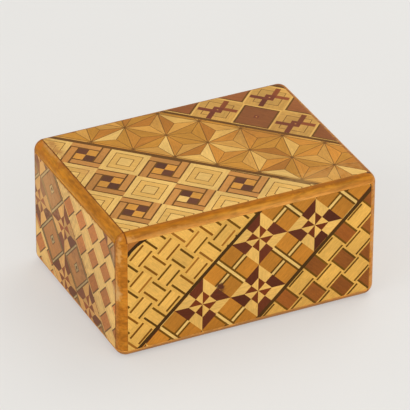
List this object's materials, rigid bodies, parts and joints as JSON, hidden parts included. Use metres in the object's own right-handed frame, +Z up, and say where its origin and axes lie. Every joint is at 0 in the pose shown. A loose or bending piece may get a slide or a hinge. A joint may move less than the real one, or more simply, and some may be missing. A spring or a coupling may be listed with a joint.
{
  "type": "puzzle box",
  "caption": "Wooden puzzle box with geometric marquetry on every face; sliding end panels and a sliding bottom release a lid that slides open along grooves.",
  "frame": {"origin": "centre of the flat underside, on the surface the box stands on", "axes": "+X along the length, towards the end that the lid slides out over; -Y is the front; +Z up"},
  "size_m": [0.1212, 0.0908, 0.0606],
  "materials": {
    "outer_wood": "satin",
    "inner_wood": "matte",
    "runner_wood": "matte",
    "marquetry": "satin",
    "bamboo": "matte"
  },
  "bodies": {
    "carcass": {"front_wall": "outer_wood", "back_wall": "outer_wood", "front_veneer": "marquetry", "back_veneer": "marquetry", "left_inner_end": "inner_wood", "right_inner_end": "inner_wood", "inner_floor": "inner_wood", "left_dovetail_rail": "runner_wood", "right_dovetail_rail": "runner_wood", "lid_stop_pins": "bamboo"},
    "lid": {"lid_board": "outer_wood", "lid_veneer": "marquetry", "lid_front_runner": "runner_wood", "lid_back_runner": "runner_wood"},
    "left_end": {"left_end_board": "outer_wood", "left_end_veneer": "marquetry", "left_end_pegs": "bamboo"},
    "right_end": {"right_end_board": "outer_wood", "right_end_veneer": "marquetry", "right_end_pegs": "bamboo"},
    "bottom": {"bottom_board": "outer_wood", "bottom_veneer": "marquetry", "bottom_front_runner": "runner_wood", "bottom_back_runner": "runner_wood"}
  },
  "joints": [
    {"name": "left_end_slide", "type": "slide", "parent": "carcass", "child": "left_end", "axis": [0, 0, 1], "range_m": [0, 0.006]},
    {"name": "bottom_slide", "type": "slide", "parent": "carcass", "child": "bottom", "axis": [-1, 0, 0], "range_m": [0, 0.008]},
    {"name": "right_end_slide", "type": "slide", "parent": "carcass", "child": "right_end", "axis": [0, 0, -1], "range_m": [0, 0.006]},
    {"name": "lid_slide", "type": "slide", "parent": "carcass", "child": "lid", "axis": [1, 0, 0], "range_m": [0, 0.0948]}
  ]
}
